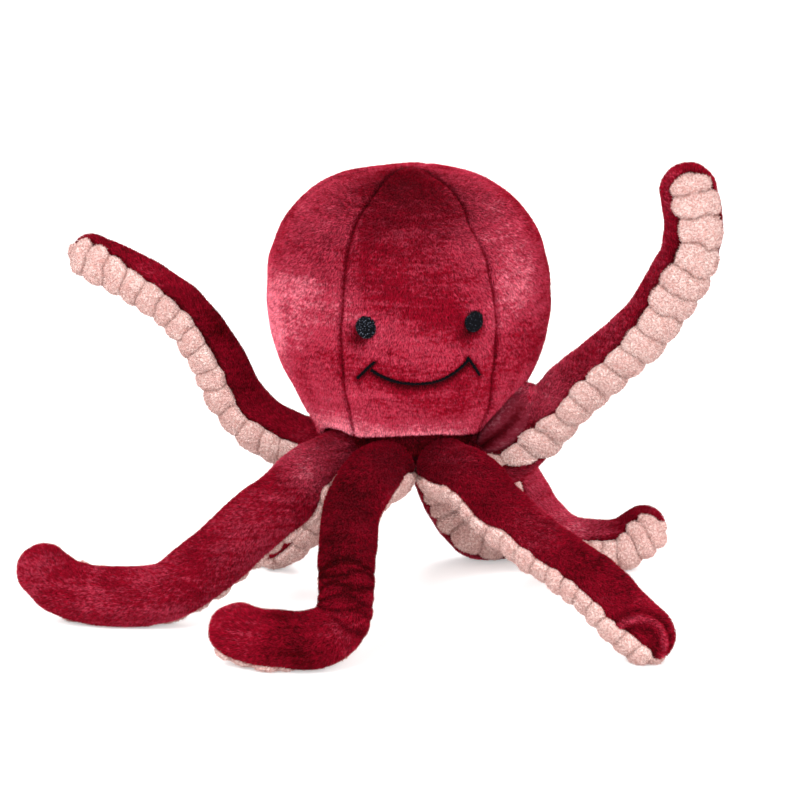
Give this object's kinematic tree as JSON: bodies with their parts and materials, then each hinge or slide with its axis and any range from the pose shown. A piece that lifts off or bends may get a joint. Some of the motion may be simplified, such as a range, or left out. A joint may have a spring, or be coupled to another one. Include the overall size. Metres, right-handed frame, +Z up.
{
  "type": "plush octopus",
  "caption": "Stuffed toy octopus with a round panelled head, a stitched smiling face, and plush arms with ribbed fleece undersides that bend where they join the base.",
  "frame": {"origin": "middle of the bounding box's base, on the floor it lies on", "axes": "+Z up; the face looks along -Y; +X is the viewer's right when facing it"},
  "size_m": [0.3142, 0.2544, 0.212],
  "materials": {
    "plush": "short crimson pile with a sheen",
    "ribbed_fleece": "matt curly pile, gathered into ribs",
    "fibre_fill": "loose polyester fibre",
    "black_thread": "satin embroidery"
  },
  "bodies": {
    "head": {"face_gore": "plush", "right_cheek_gore": "plush", "right_back_gore": "plush", "back_gore": "plush", "left_back_gore": "plush", "left_cheek_gore": "plush", "head_stuffing": "fibre_fill", "base_cup": "ribbed_fleece", "left_eye": "black_thread", "right_eye": "black_thread", "smile_stitch": "black_thread", "left_smile_corner": "black_thread", "right_smile_corner": "black_thread"},
    "front_left_arm": {"front_left_arm_top": "plush", "front_left_arm_underside": "ribbed_fleece", "front_left_arm_stuffing": "fibre_fill"},
    "front_right_arm": {"front_right_arm_top": "plush", "front_right_arm_underside": "ribbed_fleece", "front_right_arm_stuffing": "fibre_fill"},
    "right_raised_arm": {"right_raised_arm_top": "plush", "right_raised_arm_underside": "ribbed_fleece", "right_raised_arm_stuffing": "fibre_fill"},
    "right_rear_arm": {"right_rear_arm_top": "plush", "right_rear_arm_underside": "ribbed_fleece", "right_rear_arm_stuffing": "fibre_fill"},
    "back_right_arm": {"back_right_arm_top": "plush", "back_right_arm_underside": "ribbed_fleece", "back_right_arm_stuffing": "fibre_fill"},
    "back_left_arm": {"back_left_arm_top": "plush", "back_left_arm_underside": "ribbed_fleece", "back_left_arm_stuffing": "fibre_fill"},
    "left_raised_arm": {"left_raised_arm_top": "plush", "left_raised_arm_underside": "ribbed_fleece", "left_raised_arm_stuffing": "fibre_fill"},
    "left_front_arm": {"left_front_arm_top": "plush", "left_front_arm_underside": "ribbed_fleece", "left_front_arm_stuffing": "fibre_fill"}
  },
  "joints": [
    {"name": "front_left_arm_hinge", "type": "hinge", "parent": "head", "child": "front_left_arm", "pos_m": [0.00802, -0.04723, 0.072], "axis": [-0.9239, 0.3827, 0], "range_deg": [-20, 20], "stiffness_Nm_per_rad": 0.8},
    {"name": "front_right_arm_hinge", "type": "hinge", "parent": "head", "child": "front_right_arm", "pos_m": [0.03662, -0.04723, 0.072], "axis": [-0.9239, -0.3827, 0], "range_deg": [-20, 25], "stiffness_Nm_per_rad": 0.8},
    {"name": "right_raised_arm_hinge", "type": "hinge", "parent": "head", "child": "right_raised_arm", "pos_m": [0.05685, -0.02701, 0.072], "axis": [-0.3827, -0.9239, 0], "range_deg": [-50, 4], "stiffness_Nm_per_rad": 0.8},
    {"name": "right_rear_arm_hinge", "type": "hinge", "parent": "head", "child": "right_rear_arm", "pos_m": [0.05685, 0.00159, 0.072], "axis": [0.3827, -0.9239, 0], "range_deg": [-5, 35], "stiffness_Nm_per_rad": 0.8},
    {"name": "back_right_arm_hinge", "type": "hinge", "parent": "head", "child": "back_right_arm", "pos_m": [0.03662, 0.02181, 0.072], "axis": [0.9239, -0.3827, 0], "range_deg": [-5, 30], "stiffness_Nm_per_rad": 0.8},
    {"name": "back_left_arm_hinge", "type": "hinge", "parent": "head", "child": "back_left_arm", "pos_m": [0.00802, 0.02181, 0.072], "axis": [0.9239, 0.3827, 0], "range_deg": [-20, 35], "stiffness_Nm_per_rad": 0.8},
    {"name": "left_raised_arm_hinge", "type": "hinge", "parent": "head", "child": "left_raised_arm", "pos_m": [-0.0122, 0.00159, 0.072], "axis": [0.3827, 0.9239, 0], "range_deg": [-45, 20], "stiffness_Nm_per_rad": 0.8},
    {"name": "left_front_arm_hinge", "type": "hinge", "parent": "head", "child": "left_front_arm", "pos_m": [-0.0122, -0.02701, 0.072], "axis": [-0.3827, 0.9239, 0], "range_deg": [-20, 30], "stiffness_Nm_per_rad": 0.8}
  ]
}
